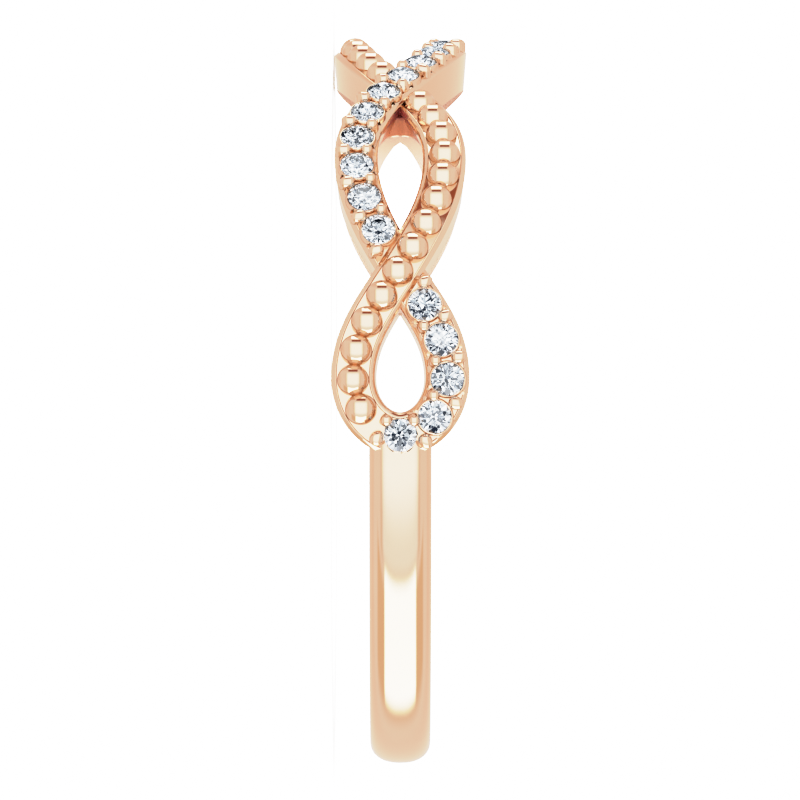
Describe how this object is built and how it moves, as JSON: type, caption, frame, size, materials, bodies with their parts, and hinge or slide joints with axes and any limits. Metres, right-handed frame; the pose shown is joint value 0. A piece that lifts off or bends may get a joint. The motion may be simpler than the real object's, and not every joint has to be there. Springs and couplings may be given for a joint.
{
  "type": "infinity ring",
  "caption": "Finger ring: a plain half-round shank opens into two strands that weave over and under each other, one set with round stones, one with a row of metal beads.",
  "frame": {"origin": "centre of the finger hole, half way along its depth", "axes": "+Z along the finger hole, so the ring lies on its side; +X from the centre to the middle of the top loop; +Y to the side that the picture shows"},
  "size_m": [0.0201, 0.0204, 0.0036],
  "materials": {
    "rose_gold": "polished",
    "diamond": "polished"
  },
  "bodies": {
    "root": {"band": "rose_gold", "stone_1": "diamond", "stone_2": "diamond", "stone_3": "diamond", "stone_4": "diamond", "stone_5": "diamond", "stone_6": "diamond", "stone_7": "diamond", "stone_8": "diamond", "stone_9": "diamond", "stone_10": "diamond", "stone_11": "diamond", "stone_12": "diamond", "stone_13": "diamond", "stone_14": "diamond", "stone_15": "diamond", "stone_16": "diamond", "stone_17": "diamond", "stone_18": "diamond", "stone_19": "diamond", "stone_20": "diamond", "stone_21": "diamond", "stone_22": "diamond", "stone_23": "diamond", "stone_24": "diamond", "stone_25": "diamond", "stone_26": "diamond", "stone_27": "diamond", "stone_28": "diamond", "stone_29": "diamond", "stone_30": "diamond", "stone_31": "diamond", "stone_32": "diamond"}
  },
  "joints": []
}
